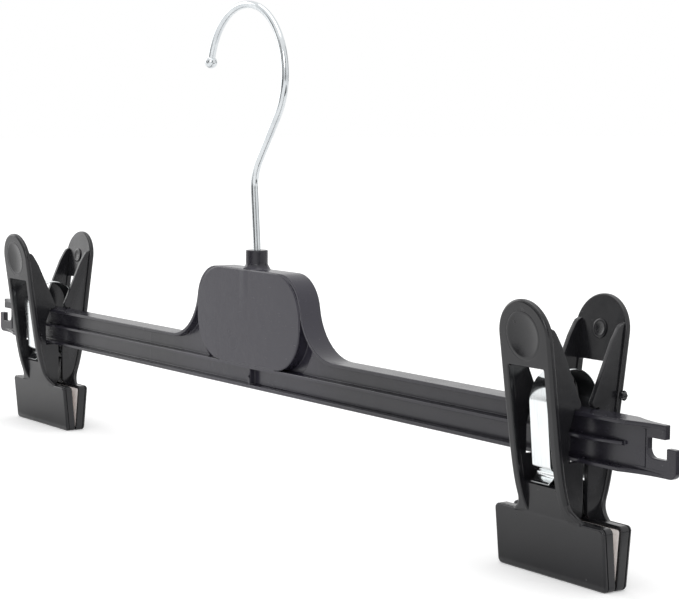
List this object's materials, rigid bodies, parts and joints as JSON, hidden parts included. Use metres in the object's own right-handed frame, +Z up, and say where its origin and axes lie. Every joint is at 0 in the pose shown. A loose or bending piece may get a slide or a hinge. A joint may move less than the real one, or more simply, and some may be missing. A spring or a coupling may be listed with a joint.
{
  "type": "clothes hanger",
  "caption": "Trouser and skirt hanger: a flanged black bar with a swivel wire hook, a blank centre panel and spring clips that slide along the bar.",
  "frame": {"origin": "on the plane that the closed jaws stand on, below the axis of the hook and midway between the two halves of each clip", "axes": "+X along the bar, to the right when the blank panel faces the viewer; +Y from the panel side to the back; +Z up along the axis of the hook"},
  "size_m": [0.362, 0.0298, 0.1489],
  "materials": {
    "bar_plastic": "satin black moulding",
    "clip_plastic": "satin black moulding",
    "hook_steel": "bright zinc plated wire",
    "spring_steel": "bright zinc plated leaf",
    "liner_soft": "matt soft liner"
  },
  "bodies": {
    "bar": {"bar": "bar_plastic"},
    "hook": {"hook": "hook_steel"},
    "left_clip": {"left_spring": "spring_steel"},
    "left_front": {"left_front_jaw": "clip_plastic", "left_front_liner": "liner_soft"},
    "left_rear": {"left_rear_jaw": "clip_plastic", "left_rear_liner": "liner_soft"},
    "right_clip": {"right_spring": "spring_steel"},
    "right_front": {"right_front_jaw": "clip_plastic", "right_front_liner": "liner_soft"},
    "right_rear": {"right_rear_jaw": "clip_plastic", "right_rear_liner": "liner_soft"}
  },
  "joints": [
    {"name": "hook_swivel", "type": "hinge", "parent": "bar", "child": "hook", "pos_m": [0, 0, 0.065], "axis": [0, 0, 1], "continuous": true},
    {"name": "left_clip_slide", "type": "slide", "parent": "bar", "child": "left_clip", "axis": [1, 0, 0], "range_m": [-0.012, 0.08]},
    {"name": "left_front_pinch", "type": "hinge", "parent": "left_clip", "child": "left_front", "pos_m": [-0.141, -0.003, 0.04455], "axis": [-1, 0, 0], "range_deg": [0, 14], "stiffness_Nm_per_rad": 0.5, "springref_deg": -20.05, "deforming": ["left_spring"]},
    {"name": "left_rear_pinch", "type": "hinge", "parent": "left_clip", "child": "left_rear", "pos_m": [-0.141, 0.003, 0.04455], "axis": [1, 0, 0], "range_deg": [0, 14], "stiffness_Nm_per_rad": 0.5, "springref_deg": -20.05, "deforming": ["left_spring"]},
    {"name": "right_clip_slide", "type": "slide", "parent": "bar", "child": "right_clip", "axis": [-1, 0, 0], "range_m": [-0.012, 0.08]},
    {"name": "right_front_pinch", "type": "hinge", "parent": "right_clip", "child": "right_front", "pos_m": [0.141, -0.003, 0.04455], "axis": [-1, 0, 0], "range_deg": [0, 14], "stiffness_Nm_per_rad": 0.5, "springref_deg": -20.05, "deforming": ["right_spring"]},
    {"name": "right_rear_pinch", "type": "hinge", "parent": "right_clip", "child": "right_rear", "pos_m": [0.141, 0.003, 0.04455], "axis": [1, 0, 0], "range_deg": [0, 14], "stiffness_Nm_per_rad": 0.5, "springref_deg": -20.05, "deforming": ["right_spring"]}
  ],
  "couplings": [
    {"joint": "left_rear_pinch", "follows": "left_front_pinch", "ratio": 1},
    {"joint": "right_rear_pinch", "follows": "right_front_pinch", "ratio": 1}
  ]
}
